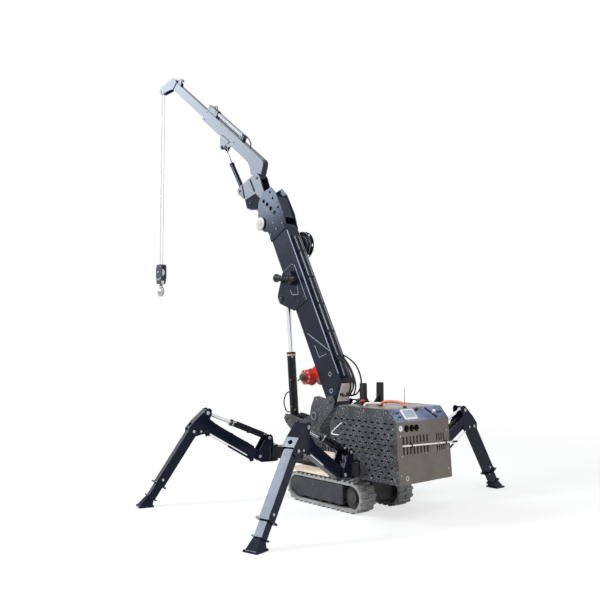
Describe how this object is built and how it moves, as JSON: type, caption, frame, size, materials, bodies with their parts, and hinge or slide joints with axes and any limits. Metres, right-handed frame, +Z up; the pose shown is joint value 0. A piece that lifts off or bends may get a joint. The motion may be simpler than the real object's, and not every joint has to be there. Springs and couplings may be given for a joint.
{
  "type": "crawler crane",
  "caption": "Small tracked crane with spread folding legs, engine hood, slewing telescopic boom, powered telescopic jib and hook block.",
  "frame": {"origin": "on the ground under the middle of the whole machine's box, boom raised and legs set out", "axes": "+X forward to the jib's tip, +Y to the machine's left, +Z up"},
  "size_m": [5.846, 4.4126, 6.3694],
  "materials": {
    "boom": "gloss",
    "boom_head": "gloss",
    "boom_rest": "gloss",
    "chassis": "satin",
    "cylinder": "gloss",
    "engine": "rough",
    "fender": "dusty satin",
    "hood_rear": "dusty satin",
    "hood_side": "dusty satin",
    "hood_top": "gloss",
    "hook": "forged",
    "hook_block": "satin",
    "jib": "gloss",
    "lamp": "satin",
    "leg": "gloss",
    "reel": "satin",
    "rod": "polished",
    "rope": "drawn wire",
    "track_cover": "satin",
    "track_rubber": "dusty rubber",
    "track_wheel": "rough",
    "turret": "dusty satin",
    "winch": "satin"
  },
  "bodies": {
    "chassis": {"chassis": "chassis", "fenders": "fender", "slew_ring": "turret", "hood_left": "hood_side", "hood_right": "hood_side", "hood_rear": "hood_rear", "hood_top": "hood_top", "hood_floor": "chassis", "engine": "engine", "boom_rest": "boom_rest", "track_belt_left": "track_rubber", "track_belt_right": "track_rubber", "track_frame_left": "track_cover", "track_frame_right": "track_cover", "track_wheels_left": "track_wheel", "track_wheels_right": "track_wheel"},
    "turret": {"turret": "turret"},
    "boom": {"boom_base": "boom", "winch": "winch", "hose_reel": "reel", "work_lamp": "lamp"},
    "boom_extension": {"boom_head": "boom_head", "jib_root": "jib"},
    "luff_barrel": {"luff_barrel": "cylinder"},
    "luff_rod": {"luff_rod": "rod"},
    "jib": {"jib_base": "jib", "tele_barrel": "cylinder"},
    "jib_extension": {"jib_section": "jib", "tele_rod": "rod"},
    "jib_barrel": {"jib_barrel": "cylinder"},
    "jib_rod": {"jib_rod": "rod"},
    "hook_line": {"hoist_rope": "rope", "hook_block": "hook_block"},
    "hook": {"hook": "hook"},
    "leg_bracket_front_left": {"leg_bracket_front_left": "leg"},
    "leg_arm_front_left": {"leg_arm_front_left": "leg"},
    "leg_barrel_front_left": {"leg_barrel_front_left": "cylinder"},
    "leg_rod_front_left": {"leg_rod_front_left": "rod"},
    "leg_tube_front_left": {"leg_tube_front_left": "leg"},
    "leg_foot_front_left": {"leg_foot_front_left": "leg"},
    "leg_bracket_front_right": {"leg_bracket_front_right": "leg"},
    "leg_arm_front_right": {"leg_arm_front_right": "leg"},
    "leg_barrel_front_right": {"leg_barrel_front_right": "cylinder"},
    "leg_rod_front_right": {"leg_rod_front_right": "rod"},
    "leg_tube_front_right": {"leg_tube_front_right": "leg"},
    "leg_foot_front_right": {"leg_foot_front_right": "leg"},
    "leg_bracket_rear_left": {"leg_bracket_rear_left": "leg"},
    "leg_arm_rear_left": {"leg_arm_rear_left": "leg"},
    "leg_barrel_rear_left": {"leg_barrel_rear_left": "cylinder"},
    "leg_rod_rear_left": {"leg_rod_rear_left": "rod"},
    "leg_tube_rear_left": {"leg_tube_rear_left": "leg"},
    "leg_foot_rear_left": {"leg_foot_rear_left": "leg"},
    "leg_bracket_rear_right": {"leg_bracket_rear_right": "leg"},
    "leg_arm_rear_right": {"leg_arm_rear_right": "leg"},
    "leg_barrel_rear_right": {"leg_barrel_rear_right": "cylinder"},
    "leg_rod_rear_right": {"leg_rod_rear_right": "rod"},
    "leg_tube_rear_right": {"leg_tube_rear_right": "leg"},
    "leg_foot_rear_right": {"leg_foot_rear_right": "leg"}
  },
  "joints": [
    {"name": "slew", "type": "hinge", "parent": "chassis", "child": "turret", "pos_m": [-1.20496, 0, 0.6], "axis": [0, 0, 1], "continuous": true},
    {"name": "boom_luff", "type": "hinge", "parent": "turret", "child": "boom", "pos_m": [-1.54496, 0, 1.19], "axis": [0, -1, 0], "range_deg": [-44, 8]},
    {"name": "luff_barrel_tilt", "type": "hinge", "parent": "turret", "child": "luff_barrel", "pos_m": [-0.71396, 0, 0.93], "axis": [0, -1, 0], "range_deg": [-49.02, 10.55]},
    {"name": "luff_rod_stroke", "type": "slide", "parent": "luff_barrel", "child": "luff_rod", "axis": [0.0919, 0, 0.9958], "range_m": [-0.6574, 0.1236]},
    {"name": "boom_telescope", "type": "slide", "parent": "boom", "child": "boom_extension", "axis": [0.4648, 0, 0.8854], "range_m": [0, 1.5]},
    {"name": "jib_luff", "type": "hinge", "parent": "boom_extension", "child": "jib", "pos_m": [0.04804, 0, 4.231], "axis": [0, -1, 0], "range_deg": [-25, 20]},
    {"name": "jib_barrel_tilt", "type": "hinge", "parent": "boom_extension", "child": "jib_barrel", "pos_m": [0.45004, 0, 4.11], "axis": [0, -1, 0], "range_deg": [-31.43, 25.55]},
    {"name": "jib_rod_stroke", "type": "slide", "parent": "jib_barrel", "child": "jib_rod", "axis": [0.5473, 0, 0.8369], "range_m": [-0.1723, 0.1388]},
    {"name": "jib_telescope", "type": "slide", "parent": "jib", "child": "jib_extension", "axis": [0.7986, 0, 0.6018], "range_m": [0, 1]},
    {"name": "hook_swing", "type": "hinge", "parent": "jib_extension", "child": "hook_line", "pos_m": [2.83496, 0, 6.23868], "axis": [0, 1, 0], "range_deg": [-70, 30]},
    {"name": "hook_turn", "type": "hinge", "parent": "hook_line", "child": "hook", "pos_m": [2.83496, 0, 2.91], "axis": [0, 0, 1], "continuous": true},
    {"name": "leg_swing_front_left", "type": "hinge", "parent": "chassis", "child": "leg_bracket_front_left", "pos_m": [-0.77496, 0.4, 0.52], "axis": [0, 0, -1], "range_deg": [-30, 30]},
    {"name": "leg_lift_front_left", "type": "hinge", "parent": "leg_bracket_front_left", "child": "leg_arm_front_left", "pos_m": [-0.72038, 0.61106, 0.495], "axis": [0.9681, -0.2504, 0], "range_deg": [-15, 50]},
    {"name": "leg_barrel_tilt_front_left", "type": "hinge", "parent": "leg_bracket_front_left", "child": "leg_barrel_front_left", "pos_m": [-0.75243, 0.48713, 0.717], "axis": [0.9681, -0.2504, 0], "range_deg": [-18.03, 55.44]},
    {"name": "leg_rod_stroke_front_left", "type": "slide", "parent": "leg_barrel_front_left", "child": "leg_rod_front_left", "axis": [0.2309, 0.8928, 0.3869], "range_m": [-0.2177, 0.0688]},
    {"name": "leg_fold_front_left", "type": "hinge", "parent": "leg_arm_front_left", "child": "leg_tube_front_left", "pos_m": [-0.50655, 1.43785, 0.842], "axis": [-0.9681, 0.2504, 0], "range_deg": [0, 85]},
    {"name": "leg_extend_front_left", "type": "slide", "parent": "leg_tube_front_left", "child": "leg_foot_front_left", "axis": [-0.1389, -0.5372, 0.832], "range_m": [-0.3, 0.13]},
    {"name": "leg_swing_front_right", "type": "hinge", "parent": "chassis", "child": "leg_bracket_front_right", "pos_m": [-0.77496, -0.4, 0.52], "axis": [0, 0, 1], "range_deg": [-30, 30]},
    {"name": "leg_lift_front_right", "type": "hinge", "parent": "leg_bracket_front_right", "child": "leg_arm_front_right", "pos_m": [-0.72038, -0.61106, 0.495], "axis": [-0.9681, -0.2504, 0], "range_deg": [-15, 50]},
    {"name": "leg_barrel_tilt_front_right", "type": "hinge", "parent": "leg_bracket_front_right", "child": "leg_barrel_front_right", "pos_m": [-0.75243, -0.48713, 0.717], "axis": [-0.9681, -0.2504, 0], "range_deg": [-18.03, 55.44]},
    {"name": "leg_rod_stroke_front_right", "type": "slide", "parent": "leg_barrel_front_right", "child": "leg_rod_front_right", "axis": [0.2309, -0.8928, 0.3869], "range_m": [-0.2177, 0.0688]},
    {"name": "leg_fold_front_right", "type": "hinge", "parent": "leg_arm_front_right", "child": "leg_tube_front_right", "pos_m": [-0.50655, -1.43785, 0.842], "axis": [0.9681, 0.2504, 0], "range_deg": [0, 85]},
    {"name": "leg_extend_front_right", "type": "slide", "parent": "leg_tube_front_right", "child": "leg_foot_front_right", "axis": [-0.1389, 0.5372, 0.832], "range_m": [-0.3, 0.13]},
    {"name": "leg_swing_rear_left", "type": "hinge", "parent": "chassis", "child": "leg_bracket_rear_left", "pos_m": [-2.26496, 0.52, 0.52], "axis": [0, 0, 1], "range_deg": [-30, 30]},
    {"name": "leg_lift_rear_left", "type": "hinge", "parent": "leg_bracket_rear_left", "child": "leg_arm_rear_left", "pos_m": [-2.31954, 0.73106, 0.495], "axis": [0.9681, 0.2504, 0], "range_deg": [-15, 50]},
    {"name": "leg_barrel_tilt_rear_left", "type": "hinge", "parent": "leg_bracket_rear_left", "child": "leg_barrel_rear_left", "pos_m": [-2.28749, 0.60713, 0.717], "axis": [0.9681, 0.2504, 0], "range_deg": [-18.03, 55.44]},
    {"name": "leg_rod_stroke_rear_left", "type": "slide", "parent": "leg_barrel_rear_left", "child": "leg_rod_rear_left", "axis": [-0.2309, 0.8928, 0.3869], "range_m": [-0.2177, 0.0688]},
    {"name": "leg_fold_rear_left", "type": "hinge", "parent": "leg_arm_rear_left", "child": "leg_tube_rear_left", "pos_m": [-2.53337, 1.55785, 0.842], "axis": [-0.9681, -0.2504, 0], "range_deg": [0, 85]},
    {"name": "leg_extend_rear_left", "type": "slide", "parent": "leg_tube_rear_left", "child": "leg_foot_rear_left", "axis": [0.1389, -0.5372, 0.832], "range_m": [-0.3, 0.13]},
    {"name": "leg_swing_rear_right", "type": "hinge", "parent": "chassis", "child": "leg_bracket_rear_right", "pos_m": [-2.26496, -0.52, 0.52], "axis": [0, 0, -1], "range_deg": [-30, 30]},
    {"name": "leg_lift_rear_right", "type": "hinge", "parent": "leg_bracket_rear_right", "child": "leg_arm_rear_right", "pos_m": [-2.27257, -0.73787, 0.495], "axis": [-0.9994, 0.0349, 0], "range_deg": [-15, 50]},
    {"name": "leg_barrel_tilt_rear_right", "type": "hinge", "parent": "leg_bracket_rear_right", "child": "leg_barrel_rear_right", "pos_m": [-2.2681, -0.60994, 0.717], "axis": [-0.9994, 0.0349, 0], "range_deg": [-18.03, 55.44]},
    {"name": "leg_rod_stroke_rear_right", "type": "slide", "parent": "leg_barrel_rear_right", "child": "leg_rod_rear_right", "axis": [-0.0322, -0.9216, 0.3869], "range_m": [-0.2177, 0.0688]},
    {"name": "leg_fold_rear_right", "type": "hinge", "parent": "leg_arm_rear_right", "child": "leg_tube_rear_right", "pos_m": [-2.30237, -1.59135, 0.842], "axis": [0.9994, -0.0349, 0], "range_deg": [0, 85]},
    {"name": "leg_extend_rear_right", "type": "slide", "parent": "leg_tube_rear_right", "child": "leg_foot_rear_right", "axis": [0.0185, 0.5287, 0.8486], "range_m": [-0.3, 0.13]}
  ],
  "couplings": [
    {"joint": "luff_barrel_tilt", "follows": "boom_luff", "ratio": 1.0687},
    {"joint": "luff_rod_stroke", "follows": "boom_luff", "m_per_rad": 0.84958},
    {"joint": "jib_barrel_tilt", "follows": "jib_luff", "ratio": 1.1773},
    {"joint": "jib_rod_stroke", "follows": "jib_luff", "m_per_rad": 0.38345},
    {"joint": "leg_barrel_tilt_front_left", "follows": "leg_lift_front_left", "ratio": 1.0688},
    {"joint": "leg_rod_stroke_front_left", "follows": "leg_lift_front_left", "m_per_rad": -0.24369},
    {"joint": "leg_barrel_tilt_front_right", "follows": "leg_lift_front_right", "ratio": 1.0688},
    {"joint": "leg_rod_stroke_front_right", "follows": "leg_lift_front_right", "m_per_rad": -0.24369},
    {"joint": "leg_barrel_tilt_rear_left", "follows": "leg_lift_rear_left", "ratio": 1.0688},
    {"joint": "leg_rod_stroke_rear_left", "follows": "leg_lift_rear_left", "m_per_rad": -0.24369},
    {"joint": "leg_barrel_tilt_rear_right", "follows": "leg_lift_rear_right", "ratio": 1.0688},
    {"joint": "leg_rod_stroke_rear_right", "follows": "leg_lift_rear_right", "m_per_rad": -0.24369}
  ]
}
